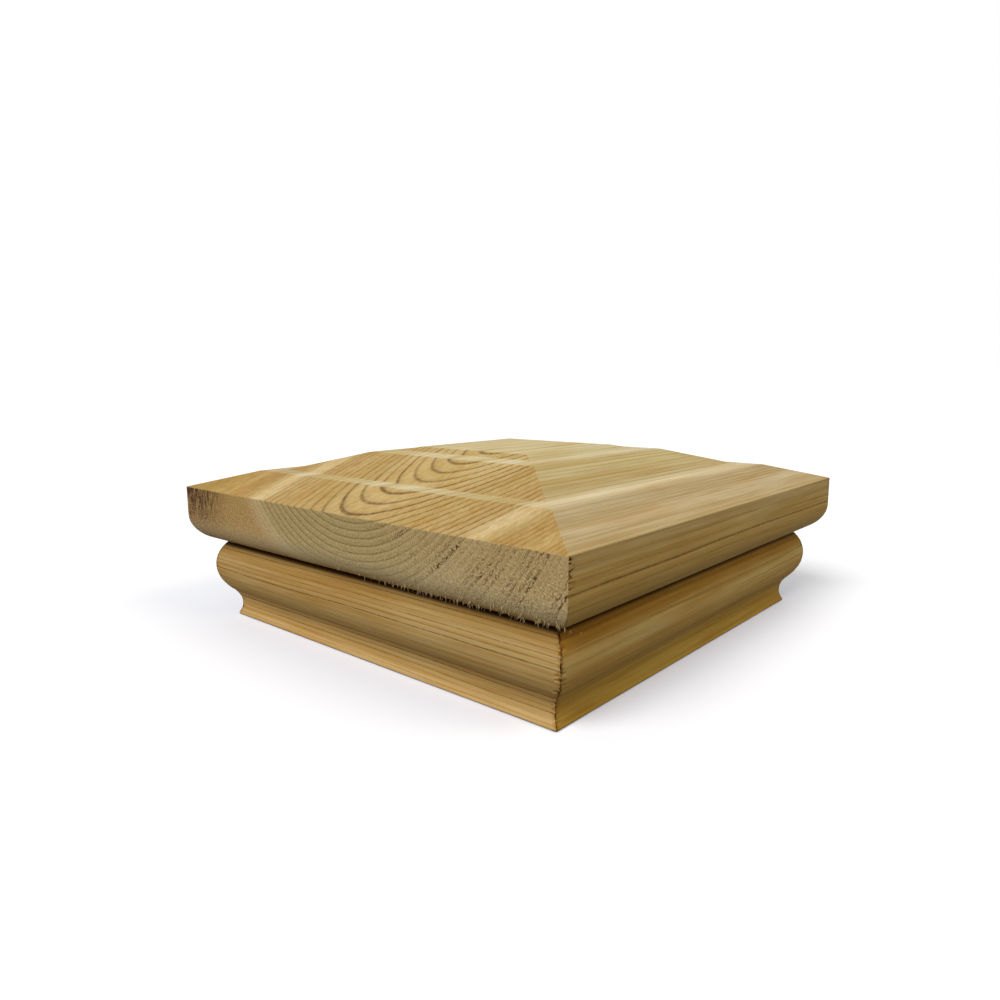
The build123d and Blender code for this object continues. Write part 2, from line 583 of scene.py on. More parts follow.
@dataclass(frozen=True)
class BoardWood(Softwood):
    """The top board's wood, with end grain that a blunt cutter crossed: matt, greyer, with torn pores.

    Places on the end grain are millimetres on the cap, with Z up from its bottom. A pair of places or heights
    is where a mask is at its least and where it is at its most.
    """

    end_tones: tuple[tuple[float, str], ...] = (
        (30.0, "#AE9B6A"), (49.0, "#B09C6C"), (52.0, "#C0AA7E"), (54.5, "#BBA075"), (58.0, "#AC8C57"),
        (74.0, "#A78650"), (86.0, "#9E7A46"),
    )                                   # end grain between the lines, by radius
    end_shows: tuple[tuple[float, float], ...] = (
        (30.0, 0.9), (49.0, 1.0), (53.0, 0.4), (58.0, 0.16), (86.0, 0.25),
    )                                   # how much of the end grain's lines shows, by radius
    end_shape: tuple[tuple[float, float], ...] = (
        (0.0, 0.05), (0.1, 0.0), (0.3, 0.0), (0.38, 0.35), (0.46, 0.05), (0.74, 0.25), (0.84, 1.0),
        (0.92, 0.35), (1.0, 0.05),
    )                                   # how dark it is through the year, with a faint false ring
    end_line: str = "#735327"           # a year's line on the end grain
    torn_tone: str = "#B39B6E"          # loose grain scatters more light, so the torn side is greyer
    fleck: str = "#4A2C0C"              # shade in a torn pore
    fuzz_and_painted_light: str = "#D8CAA8"               # loose pale fibres, and the painted light on the lower edge
    stain: str = "#3A1A05"              # old stain high up at the far arris
    tear: str = "#4A2206"               # splits that run in from the ends beside the upright arrises
    arris_mm: float = 41.4              # height of the upper arris
    torn_from_mm: float = -8.0          # Y on the upper arris where the cutter began to tear
    torn_lean: float = 1.6              # how far the torn side's border leans in as it goes up
    torn_soft_mm: float = 16.0          # the tearing sets in over this length
    true_at_mm: float = 65.0            # radius where lengths along the rings are true
    pore_mm: tuple[float, float] = (0.38, 0.9)      # a torn pore, across the rings and along them
    tuft_mm: tuple[float, float] = (0.75, 0.33)     # a tuft of loose fibres, likewise
    bare_mm: tuple[float, float] = (25.9, 32.9)     # heights where no tufts lie over the pores
    tufted_mm: tuple[float, float] = (41.9, 29.9)   # heights where the tufts grow dense
    pale_lower_edge_mm: tuple[float, float] = (32.9, 26.9)   # heights where the lower edge grows paler, partly for fuzz and partly as painted light on the round-over
    stain_y_mm: tuple[float, float] = (48.0, 62.0)  # places along the end where the stain sets in
    stain_z_mm: tuple[float, float] = (26.9, 37.9)  # and heights
    split_x_mm: tuple[float, float] = (70.6, 72.4)  # half widths where the splits set in
    split_z_mm: tuple[float, float] = (32.9, 35.9)  # and heights, which keep them off the round-over

    END_GRAIN = (0.55, 0.8)             # share of the normal along the fibres on the end grain
    # the pores tore out in patches as long as a finger's width
    PORE_PATCHES = Marks(20.0, 3.5, 81.0, 1.0, noise=(0.38, 0.58), mask=(0.45, 1.0))
    SPLITS = Marks(3.0, 0.5, 61.0, 1.0, noise=(0.5, 0.6))

    def special(
        self, tree: Tree, growth: Growth, colour: Socket, height: Socket
    ) -> tuple[Socket, Socket]:
        """Adds the end grain and the splits beside it.

        Args:
            tree: The material's node tree.
            growth: Where the points are.
            colour: The planed colour.
            height: The planed relief.

        Returns:
            The colour and the relief.
        """
        torn = self.torn_side(tree, growth)
        ends = self.aged(tree, growth, self.end_rings(tree, growth, torn))
        pores = self.torn_pores(tree, growth, torn)
        ends = add_node(tree, "Mix", {"data_type": "RGBA", 0: pores, 6: ends, 7: linear(self.fleck)})[2]
        tufts = self.tufts(tree, growth, torn, pores)
        ends = add_node(tree, "Mix", {"data_type": "RGBA", 0: tufts, 6: ends, 7: linear(self.fuzz_and_painted_light)})[2]
        # tufts stand half of the relief above the cut and pores go half of it below
        raised = add_node(tree, "Math", {"operation": "MULTIPLY_ADD", 0: tufts, 1: 0.5, 2: 0.5})[0]
        pitted = add_node(tree, "Math", {"operation": "MULTIPLY_ADD", 0: pores, 1: -0.5, 2: raised})[0]
        split = self.splits(tree, growth)
        colour = add_node(tree, "Mix", {"data_type": "RGBA", 0: split, 6: colour, 7: linear(self.tear)})[2]
        end = self.across_fibres(tree, *self.END_GRAIN)
        return (
            add_node(tree, "Mix", {"data_type": "RGBA", 0: end, 6: colour, 7: ends})[2],
            add_node(tree, "Mix", {"data_type": "FLOAT", 0: end, 2: height, 3: pitted})[0],
        )

    def torn_side(self, tree: Tree, growth: Growth) -> Socket:
        """A mask of the end grain's torn side, which reaches further in along the upper arris.

        Args:
            tree: The material's node tree.
            growth: Where the points are.

        Returns:
            The mask's socket.
        """
        place = growth.place
        settings = {"operation": "MULTIPLY_ADD", 0: place["Z"], 1: -self.torn_lean, 2: place["Y"]}
        leaning = add_node(tree, "Math", settings)[0]
        border = self.torn_from_mm - self.torn_lean * self.arris_mm
        settings = {
            "interpolation_type": "SMOOTHSTEP", "Value": leaning,
            "From Min": border, "From Max": border - self.torn_soft_mm,
        }
        return add_node(tree, "MapRange", settings)[0]

    def end_rings(self, tree: Tree, growth: Growth, torn: Socket) -> Socket:
        """Colour of the rings: fine lines on the clean side, which fade where the cutter tore.

        Args:
            tree: The material's node tree.
            growth: Where the points are.
            torn: The torn side.

        Returns:
            The colour's socket.
        """
        stops = [(at, grey(level)) for at, level in self.end_shape]
        mask = add_node(tree, "ValToRGB", {0: growth.part, "stops": stops})[0]
        faded = add_node(tree, "MapRange", {"Value": torn, "To Min": 1.0, "To Max": 0.5})[0]
        for share in (self.by_radius(tree, growth, self.end_shows), faded):
            mask = add_node(tree, "Math", {"operation": "MULTIPLY", 0: mask, 1: share})[0]
        base = self.by_radius(tree, growth, self.end_tones)
        # a fifth of the sound colour still shows on the torn side
        loose = add_node(tree, "Math", {"operation": "MULTIPLY", 0: torn, 1: 0.8})[0]
        base = add_node(tree, "Mix", {"data_type": "RGBA", 0: loose, 6: base, 7: linear(self.torn_tone)})[2]
        return add_node(tree, "Mix", {"data_type": "RGBA", 0: mask, 6: base, 7: linear(self.end_line)})[2]

    def aged(self, tree: Tree, growth: Growth, colour: Socket) -> Socket:
        """Adds old stain, the paler lower edge, which is partly fuzz and partly painted light, and the
        speckle of open pores.

        Args:
            tree: The material's node tree.
            growth: Where the points are.
            colour: Colour of the rings.

        Returns:
            The colour's socket.
        """
        # the outermost wood is stained in upright streaks, 0.9 mm wide and 3.5 mm high
        settings = {"Vector": growth.space, "Scale": (0.0, 1 / 0.9, 1 / 3.5), "Location": (0.0, 7.3, 1.1)}
        upwards = add_node(tree, "Mapping", settings)[0]
        streak = add_node(tree, "TexNoise", {"Vector": upwards, "Scale": 1.0, "Detail": 1.5})[0]
        settings = {"Value": streak, "From Min": 0.4, "From Max": 0.54, "To Min": 0.2}
        stained = add_node(tree, "MapRange", settings)[0]
        # only high up beside the far arris
        for axis, (none_at, all_at) in (("Y", self.stain_y_mm), ("Z", self.stain_z_mm)):
            settings = {"Value": growth.place[axis], "From Min": none_at, "From Max": all_at}
            share = add_node(tree, "MapRange", settings)[0]
            stained = add_node(tree, "Math", {"operation": "MULTIPLY", 0: stained, 1: share})[0]
        # all along the lower edge the surface is paler: a little fuzz, and painted light on the round-over
        none_at, all_at = self.pale_lower_edge_mm
        settings = {"Value": growth.place["Z"], "From Min": none_at, "From Max": all_at, "To Max": 0.4}
        pale_lower_edge = add_node(tree, "MapRange", settings)[0]
        for share, tone in ((stained, self.stain), (pale_lower_edge, self.fuzz_and_painted_light)):
            settings = {"data_type": "RGBA", 0: share, 6: colour, 7: linear(tone)}
            colour = add_node(tree, "Mix", settings)[2]
        # open pores are finer than a pixel, so a speckle of 0.35 mm is drawn
        pores = add_node(tree, "TexNoise", {"Vector": growth.space, "Scale": 1 / 0.35, "Detail": 2.0})[0]
        speckle = add_node(tree, "ValToRGB", {0: pores, "stops": [(0.3, grey(0.72)), (0.7, grey(1.15))]})[0]
        settings = {"data_type": "RGBA", "blend_type": "MULTIPLY", 0: 1.0, 6: colour, 7: speckle}
        return add_node(tree, "Mix", settings)[2]

    def ring_marks(
        self, tree: Tree, growth: Growth, size: tuple[float, float], distortion: float, detail: float
    ) -> Socket:
        """Noise whose marks follow the rings.

        Args:
            tree: The material's node tree.
            growth: Where the points are.
            size: A mark's size across the rings and along them, in mm.
            distortion: How much the marks bend.
            detail: Octaves.

        Returns:
            The noise's socket.
        """
        across, along = size
        place = add_node(tree, "SeparateXYZ", {0: growth.space})
        angle = add_node(tree, "Math", {"operation": "ARCTAN2", 0: place["Z"], 1: place["Y"]})[0]
        settings = {"operation": "MULTIPLY", 0: angle, 1: self.true_at_mm / along}
        sideways = add_node(tree, "Math", settings)[0]
        outwards = add_node(tree, "Math", {"operation": "DIVIDE", 0: growth.radius, 1: across})[0]
        grid = add_node(tree, "CombineXYZ", {0: outwards, 1: sideways})[0]
        settings = {"Vector": grid, "Scale": 1.0, "Detail": detail, "Distortion": distortion}
        return add_node(tree, "TexNoise", settings)[0]

    def torn_pores(self, tree: Tree, growth: Growth, torn: Socket) -> Socket:
        """A mask of the torn pores: dark dashes along the rings, in rows beside the years' lines.

        Args:
            tree: The material's node tree.
            growth: Where the points are.
            torn: The torn side.

        Returns:
            The mask's socket.
        """
        marks = self.ring_marks(tree, growth, self.pore_mm, distortion=0.0, detail=1.5)
        settings = {"interpolation_type": "SMOOTHSTEP", "Value": marks, "From Min": 0.44, "From Max": 0.56}
        mask = add_node(tree, "MapRange", settings)[0]
        stops = [(0.2, grey(0.2)), (0.5, grey(0.9)), (0.8, grey(1.0)), (1.0, grey(0.2))]
        late = add_node(tree, "ValToRGB", {0: growth.part, "stops": stops})[0]
        # some years tore more than others
        settings = {"Value": growth.chance, "From Min": 0.3, "From Max": 0.7, "To Min": 0.35}
        year = add_node(tree, "MapRange", settings)[0]
        patch = self.mask(tree, growth, self.PORE_PATCHES)
        # a few tore on the clean side too
        side = add_node(tree, "MapRange", {"Value": torn, "To Min": 0.12})[0]
        # low down the loose fibres lie over them
        none_at, all_at = self.bare_mm
        settings = {"Value": growth.place["Z"], "From Min": none_at, "From Max": all_at, "To Min": 0.2}
        bare = add_node(tree, "MapRange", settings)[0]
        for share in (late, year, patch, side, bare):
            mask = add_node(tree, "Math", {"operation": "MULTIPLY", 0: mask, 1: share})[0]
        return mask

    def tufts(self, tree: Tree, growth: Growth, torn: Socket, pores: Socket) -> Socket:
        """A mask of the loose fibres: short pale tufts across the rings, most of them low down.

        Args:
            tree: The material's node tree.
            growth: Where the points are.
            torn: The torn side.
            pores: The torn pores, which stay clear of tufts.

        Returns:
            The mask's socket.
        """
        marks = self.ring_marks(tree, growth, self.tuft_mm, distortion=0.4, detail=2.0)
        settings = {"interpolation_type": "SMOOTHSTEP", "Value": marks, "From Min": 0.42, "From Max": 0.74}
        mask = add_node(tree, "MapRange", settings)[0]
        none_at, all_at = self.tufted_mm
        settings = {
            "interpolation_type": "SMOOTHSTEP", "Value": growth.place["Z"],
            "From Min": none_at, "From Max": all_at, "To Min": 0.3, "To Max": 0.75,
        }
        low = add_node(tree, "MapRange", settings)[0]
        side = add_node(tree, "MapRange", {"Value": torn, "To Min": 0.6})[0]
        clear = add_node(tree, "Math", {"operation": "SUBTRACT", 0: 1.0, 1: pores, "use_clamp": True})[0]
        for share in (low, side, clear):
            mask = add_node(tree, "Math", {"operation": "MULTIPLY", 0: mask, 1: share})[0]
        return mask

    def splits(self, tree: Tree, growth: Growth) -> Socket:
        """A mask of the splits that run along the fibres beside the upright arrises.

        Args:
            tree: The material's node tree.
            growth: Where the points are.

        Returns:
            The mask's socket.
        """
        half = add_node(tree, "Math", {"operation": "ABSOLUTE", 0: growth.place["X"]})[0]
        upright = self.facing_up(tree, *self.UPRIGHT)
        mask = self.mask(tree, growth, self.SPLITS)
        mask = add_node(tree, "Math", {"operation": "MULTIPLY", 0: mask, 1: upright})[0]
        for at, (none_at, all_at) in ((half, self.split_x_mm), (growth.place["Z"], self.split_z_mm)):
            share = add_node(tree, "MapRange", {"Value": at, "From Min": none_at, "From Max": all_at})[0]
            mask = add_node(tree, "Math", {"operation": "MULTIPLY", 0: mask, 1: share})[0]
        return mask


@dataclass(frozen=True)
class MouldingWood(Softwood):
    """A moulding's wood: planed along its fibres, with painted shade and some dirt below the board, stained
    and torn at the mitres.

    A pair of heights or distances in mm is where a mask is at its least and where it is at its most.
    """

    painted_crevice_shade_mm: tuple[float, float] = (22.3, 23.5)     # heights where the crevice below the board darkens with painted shade
    dirt_and_painted_shade: str = "#2E1604"               # dirt in the open mitres, and painted shade with some dirt in that corner
    painted_broad_shade_mm: tuple[float, float] = (18.0, 21.5)       # and heights where a broader, softer painted shade sets in below it
    painted_shade_tint: str = "#DEC893"               # what that painted shade leaves of the colour
    stain: str = "#8A5312"              # glue and saw burn beside a mitre
    stained_mm: tuple[float, float] = (1.4, 0.1)      # distances from the mitre where it sets in
    open_mm: tuple[float, float] = (0.36, 0.1)        # and where the open joint shows

    CRUMBS = Marks(1.2, 0.6, 51.0, noise=(0.42, 0.62))                      # what the saw left torn
    FILLING = Marks(2.0, 1.4, 57.0, noise=(0.4, 0.6), mask=(0.2, 1.0))      # dirt in the open joint
    RAGGED = Marks(0.9, 0.9, 59.0, noise=(0.3, 0.7), mask=(-0.3, 0.3))   # the joint's line wanders 0.3 mm

    def special(
        self, tree: Tree, growth: Growth, colour: Socket, height: Socket
    ) -> tuple[Socket, Socket]:
        """Adds the stain beside the mitres, the dirt in the open joints, and the painted shade, with some
        dirt, below the board.

        Args:
            tree: The material's node tree.
            growth: Where the points are.
            colour: The planed colour.
            height: The planed relief.

        Returns:
            The colour and the relief.
        """
        off = self.off_mitre(tree, growth)
        near, joint = [
            add_node(tree, "MapRange", {"Value": off, "From Min": none_at, "From Max": all_at})[0]
            for none_at, all_at in (self.stained_mm, self.open_mm)
        ]
        crumbs = self.mask(tree, growth, self.CRUMBS)
        stained = add_node(tree, "Math", {"operation": "MULTIPLY", 0: near, 1: crumbs})[0]
        settings = {"data_type": "RGBA", 0: stained, 6: colour, 7: linear(self.stain)}
        colour = add_node(tree, "Mix", settings)[2]
        filled = self.mask(tree, growth, self.FILLING)
        joint = add_node(tree, "Math", {"operation": "MULTIPLY", 0: joint, 1: filled})[0]
        # below the board both the dark crevice line and the broader soft darkening are painted shade
        rising = {"interpolation_type": "SMOOTHSTEP", "Value": growth.place["Z"]}
        corner, painted_broad_shade = [
            add_node(tree, "MapRange", {**rising, "From Min": none_at, "From Max": all_at})[0]
            for none_at, all_at in (self.painted_crevice_shade_mm, self.painted_broad_shade_mm)
        ]
        # painted shade: the moulding darkens softly below the board
        settings = {"data_type": "RGBA", "blend_type": "MULTIPLY", 0: painted_broad_shade, 6: colour, 7: linear(self.painted_shade_tint)}
        colour = add_node(tree, "Mix", settings)[2]
        # the open joint is dirt; the crevice line is painted shade with some dirt
        joint_dirt_and_painted_shade = add_node(tree, "Math", {"operation": "MAXIMUM", 0: joint, 1: corner})[0]
        colour = add_node(tree, "Mix", {"data_type": "RGBA", 0: joint_dirt_and_painted_shade, 6: colour, 7: linear(self.dirt_and_painted_shade)})[2]
        # the saw tore the stained wood out, by up to 0.8 of the relief
        height = add_node(tree, "Math", {"operation": "MULTIPLY_ADD", 0: stained, 1: -0.8, 2: height})[0]
        return colour, height

    def off_mitre(self, tree: Tree, growth: Growth) -> Socket:
        """How far a point is off the joint's slightly ragged line, measured along a side.

        Args:
            tree: The material's node tree.
            growth: Where the points are.

        Returns:
            The distance's socket, in mm.
        """
        halves = [
            add_node(tree, "Math", {"operation": "ABSOLUTE", 0: growth.place[axis]})[0] for axis in ("X", "Y")
        ]
        off = add_node(tree, "Math", {"operation": "SUBTRACT", 0: halves[0], 1: halves[1]})[0]
        off = add_node(tree, "Math", {"operation": "ABSOLUTE", 0: off})[0]
        ragged = self.mask(tree, growth, self.RAGGED)
        return add_node(tree, "Math", {"operation": "ADD", 0: off, 1: ragged})[0]


@dataclass(frozen=True)
class BradSteel:
    """Zinc plated steel wire, drawn: a dull grey metal with a soft sheen and fine lengthwise marks."""

    name: str = "brad_zinc_plated_steel"
    colour: str = "#B9BCBE"
    dull: str = "#94979A"               # in the drawing marks
    mark_mm: tuple[float, float] = (0.15, 6.0)    # width of a drawing mark, and its length down the wire

    def material(self) -> bpy.types.Material:
        """Builds the material.

        Returns:
            The brads' material.
        """
        made = bpy.data.materials.new(self.name)
        tree = cleared_tree(made)
        place = add_node(tree, "TexCoord", {})["Object"]
        across, along = (1 / (size * MM) for size in self.mark_mm)
        stretched = add_node(tree, "Mapping", {"Vector": place, "Scale": (across, across, along)})[0]
        marks = add_node(tree, "TexNoise", {"Vector": stretched, "Scale": 1.0, "Detail": 2.0})[0]
        stops = [(0.35, linear(self.dull)), (0.65, linear(self.colour))]
        tone = add_node(tree, "ValToRGB", {0: marks, "stops": stops})[0]
        rough = add_node(tree, "MapRange", {"Value": marks, "To Min": 0.32, "To Max": 0.5})[0]
        bump = add_node(tree, "Bump", {"Height": marks, "Strength": 0.5, "Distance": 0.02 * MM})[0]
        settings = {"Base Color": tone, "Metallic": 1.0, "Roughness": rough, "Normal": bump}
        shader = add_node(tree, "BsdfPrincipled", settings)[0]
        add_node(tree, "OutputMaterial", {"Surface": shader})
        return made


@dataclass(frozen=True)
class CapBoard:
    """The square board on top: two sloping bands and a low flat square, with a round-over below.

    Lengths are in mm, and a half width is measured from the board's middle.
    """

    wood: BoardWood
    node: str = "cap_board"
    edge_top: float = 41.4              # upper arris of the upright sides
    band_pitch_deg: float = 16.3        # slope of both bands
    shoulder_1: float = 56.4            # half width where the outer band ends in a level valley
    valley_1: float = 51.0              # half width where the inner band starts
    shoulder_2: float = 32.5            # half width where the inner band ends
    valley_2: float = 26.0              # half width at the foot of the short rise to the flat
    valley_2_rise: float = 0.3
    flat_top: float = 21.0              # half width of the flat
    shoulder_r: float = 6.0             # softness of the outer turns
    valley_r: float = 3.0               # softness of the inner turns
    round_over: float = 8.0
    worn: float = 0.22                  # width that handling has taken off the sharp arrises
    arris_deg: float = 30.0             # an edge that turns more than this is an arris

    def build(self) -> list[bpy.types.Object]:
        """Moulds the board from a square sheet, as high and wide as its node.

        Returns:
            The board.
        """
        low, high = (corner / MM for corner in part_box(self.node))
        rings = self.rings(high.x, high.z)
        bpy.ops.object.select_all(action="DESELECT")
        bpy.ops.mesh.primitive_plane_add(size=2 * high.x * MM, location=(0, 0, self.edge_top * MM))
        board = Workpiece("board_moulded")
        board.pick_all()
        for (outer, under), (inner, over) in zip(rings, rings[1:]):
            bpy.ops.mesh.inset(thickness=(outer - inner) * MM, depth=(over - under) * MM)
        self.drop_sides(board, low.z)
        self.soften_turns(board, rings)
        board.pick(lambda p: p.z < low.z * MM + HAIR)
        bpy.ops.mesh.bevel(offset=self.round_over * MM, segments=10, affect="EDGES")
        arrises = {"segments": 2, "limit_method": "ANGLE", "angle_limit": math.radians(self.arris_deg)}
        board.modify("BEVEL", {"width": self.worn * MM, **arrises})
        return [board.finish(self.wood.material(), "board_wood", self.node)]

    def rings(self, half: float, top: float) -> list[tuple[float, float]]:
        """Half width and height of each turn of the top, from the outer arris inwards.

        Args:
            half: Half width of the board.
            top: Height of the flat.

        Returns:
            The turns.
        """
        slope = math.tan(math.radians(self.band_pitch_deg))
        level_1 = self.edge_top + (half - self.shoulder_1) * slope
        level_2 = level_1 + (self.valley_1 - self.shoulder_2) * slope
        return [
            (half, self.edge_top), (self.shoulder_1, level_1), (self.valley_1, level_1),
            (self.shoulder_2, level_2), (self.valley_2, level_2 + self.valley_2_rise), (self.flat_top, top),
        ]

    def drop_sides(self, board: Workpiece, underside: float) -> None:
        """Extrudes the four sides down and closes the underside.

        Args:
            board: The board.
            underside: Height of its underside.
        """
        rim = self.edge_top * MM
        board.pick(lambda p: abs(p.z - rim) < HAIR)
        bpy.ops.mesh.extrude_region_move(TRANSFORM_OT_translate={"value": (0, 0, underside * MM - rim)})
        bpy.ops.mesh.edge_face_add()
        bpy.ops.mesh.select_all(action="SELECT")
        bpy.ops.mesh.normals_make_consistent(inside=False)

    def soften_turns(self, board: Workpiece, rings: list[tuple[float, float]]) -> None:
        """Rounds each turn of the top, as the cutter leaves it.

        Args:
            board: The board.
            rings: The turns.
        """
        pitches = [
            math.atan2(over - under, outer - inner) for (outer, under), (inner, over) in zip(rings, rings[1:])
        ]
        pitches.append(0.0)
        for (half, height), before, after in zip(rings[1:], pitches, pitches[1:]):
            radius = self.shoulder_r if before > after else self.valley_r
            width = radius * math.tan(abs(before - after) / 2)
            board.pick(
                lambda p: abs(max(abs(p.x), abs(p.y)) - half * MM) < HAIR and abs(p.z - height * MM) < HAIR
            )
            bpy.ops.mesh.bevel(offset=width * MM, segments=4, affect="EDGES")


@dataclass(frozen=True)
class MouldingFrame:
    """The mitred frame: one strip of ovolo and cove moulding, made once and set on all four sides.

    Lengths are in mm. The strip is made on the +X side.
    """

    woods: Mapping[str, MouldingWood]   # the wood of each side, by node
    facing_deg: Mapping[str, float]     # the way that each side faces
    brad_line: float = 55.0             # half width of the square that the brads stand on
    brad_spread: float = 30.0           # each side's brads are this far either side of its middle
    ovolo_r: float = 11.0
    ovolo_out: float = 67.7             # half width over the ovolo
    ovolo_z: float = 16.4               # height of its widest line
    cove_in: float = 62.3               # half width at the cove's deepest line
    cove_z: float = 4.0                 # height of that line
    lip_out: float = 63.3               # half width over the upright lower lip
    lip_ease: float = 0.5               # its lower edge is eased
    row: float = 0.55                   # height of one row of faces on the moulded side
    waste: float = 2.0                  # what the mitre saw takes off each end
    mitre_rim: float = 1.2              # a row of faces this wide lies beside each mitre
    mitre_gap: float = 0.1              # how far the sharp mitre edges stand back
    chip_share: float = 0.14            # share of the points along a mitre that are chipped
    chip_deep: float = 0.35             # mm, towards the cap's middle
    bore_r: float = 1.1                 # hole that each set brad leaves
    bore_deep: float = 1.7

    def build(self) -> list[bpy.types.Object]:
        """Shapes the strip, then sets a copy on each side and tears its mitre edges differently.

        Returns:
            The four sides.
        """
        strip = self.strip()
        made = []
        for seed, (node, wood) in enumerate(self.woods.items()):
            side = strip.copy(node.replace("moulding", "ovolo_cove"))
            side.shape.rotation_euler.z = math.radians(self.facing_deg[node])
            bpy.ops.object.transform_apply(rotation=True)
            self.tear_mitres(side, seed)
            made.append(side.finish(wood.material(), "moulding_wood", node))
        strip.hold()
        bpy.ops.object.delete()
        return made

    def half_width(self, height: float) -> float:
        """Half width of the frame over its moulded face.

        Args:
            height: Height above the frame's bottom.

        Returns:
            The half width.
        """
        ovolo_x = self.ovolo_out - self.ovolo_r
        rise, gap = self.ovolo_z - self.cove_z, self.cove_in - ovolo_x
        # the cove's circle touches the ovolo's circle from outside, which gives its radius
        cove_r = (gap**2 + rise**2 - self.ovolo_r**2) / (2 * (self.ovolo_r - gap))
        join = self.ovolo_z - rise * self.ovolo_r / (self.ovolo_r + cove_r)
        if height >= join:
            return ovolo_x + math.sqrt(self.ovolo_r**2 - (height - self.ovolo_z) ** 2)
        cove = self.cove_in + cove_r - math.sqrt(cove_r**2 - (height - self.cove_z) ** 2)
        if height >= self.cove_z:
            return cove
        face = min(cove, self.lip_out)
        under = self.lip_ease - height
        return face - self.lip_ease + math.sqrt(self.lip_ease**2 - under**2) if under > 0 else face

    def strip(self) -> Workpiece:
        """Makes the +X strip from a squared bar.

        Returns:
            The strip.
        """
        low, high = (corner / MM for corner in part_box("moulding_right"))
        bpy.ops.object.select_all(action="DESELECT")
        bpy.ops.mesh.primitive_cube_add(
            size=MM,
            location=((low.x + high.x) / 2 * MM, 0, (low.z + high.z) / 2 * MM),
            scale=(high.x - low.x, 2 * (high.x + self.waste), high.z - low.z),
        )
        strip = Workpiece("moulding_strip")
        rows = round((high.z - low.z) / self.row)
        heights = [low.z + (high.z - low.z) * i / rows for i in range(1, rows)]
        # two more rows follow the lip's eased edge
        heights += [self.lip_ease / 8, self.lip_ease / 3]
        for height in heights:
            strip.cut(Vector((0, 0, height * MM)), Vector((0, 0, 1)))
        for height in [low.z, *heights, high.z]:
            strip.pick(
                lambda p: p.x > high.x * MM - HAIR and abs(p.z - height * MM) < HAIR, edges=False
            )
            bpy.ops.transform.translate(value=((self.half_width(height) - high.x) * MM, 0, 0))
        for way in (1, -1):
            across = Vector((-1, way, 0)).normalized()
            strip.cut(Vector((0, 0, 0)), across, clear=True)
            strip.cut(across * -self.mitre_rim * MM, across)
        for spread in (-self.brad_spread, self.brad_spread):
            self.bore(strip, spread)
        return strip

    def bore(self, strip: Workpiece, spread: float) -> None:
        """Sinks one brad's hole into the underside.

        Args:
            strip: The strip.
            spread: The hole's place along it.
        """
        strip.hold()
        bpy.ops.object.select_all(action="DESELECT")
        bpy.ops.mesh.primitive_cylinder_add(
            vertices=24, radius=self.bore_r * MM, depth=2 * self.bore_deep * MM,
            location=(self.brad_line * MM, spread * MM, 0),
        )
        drill = Workpiece("drill")
        strip.modify("BOOLEAN", {"operation": "DIFFERENCE", "object": drill.shape, "solver": "EXACT"})
        drill.hold()
        bpy.ops.object.delete()

    def tear_mitres(self, side: Workpiece, seed: int) -> None:
        """Sets the mitre edges back a little and chips them here and there, as a coarse saw does.

        Args:
            side: One side of the frame.
            seed: Makes each side's edges its own.
        """
        side.pick(lambda p: abs(abs(p.x) - abs(p.y)) < HAIR)
        bpy.ops.mesh.bevel(offset=self.mitre_gap * MM, segments=1, affect="EDGES")
        chance = Random(seed)
        # only the moulded face is chipped, and all of it lies outside this half width
        outside = (self.cove_in - 1.0) * MM
        side.pick(
            lambda p: abs(abs(p.x) - abs(p.y)) < 2 * self.mitre_gap * MM
            and min(abs(p.x), abs(p.y)) > outside
            and chance.random() < self.chip_share,
            edges=False,
        )
        inwards = 1 - self.chip_deep / self.ovolo_out
        bpy.ops.transform.resize(value=(inwards, inwards, 1), center_override=(0, 0, 0))


